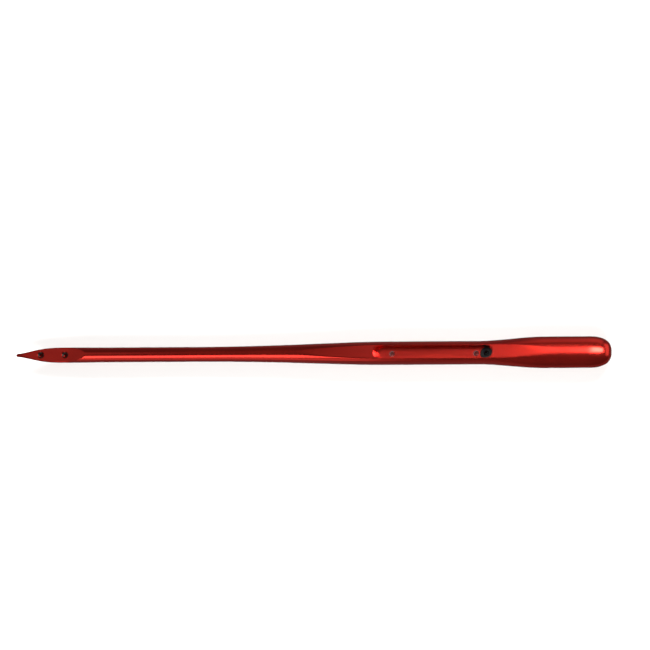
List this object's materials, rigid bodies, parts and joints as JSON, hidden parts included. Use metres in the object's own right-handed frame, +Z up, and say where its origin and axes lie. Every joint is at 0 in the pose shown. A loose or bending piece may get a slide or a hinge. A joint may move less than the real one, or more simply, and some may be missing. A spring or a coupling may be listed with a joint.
{
  "type": "hydrofoil fuselage",
  "caption": "Slim anodised aluminium fuselage of a hydrofoil, with a deep mast socket on top, an oval nose with a wing seat below and a stabiliser seat at the tail.",
  "frame": {"origin": "on the floor of the mast socket, midway between the two mast bolt holes", "axes": "+X along the bar towards the nose, +Z up out of the mast socket, +Y to the left when facing the nose"},
  "size_m": [0.71, 0.0368, 0.0231],
  "materials": {
    "anodised_body": "satin red anodised",
    "black_nut": "black oxide",
    "steel_insert": "drawn stainless wire"
  },
  "bodies": {
    "root": {"fuselage_body": "anodised_body", "wing_nut": "black_nut", "tail_insert_rear": "steel_insert", "tail_insert_front": "steel_insert", "wing_insert_rear": "steel_insert", "wing_insert_front": "steel_insert"}
  },
  "joints": []
}
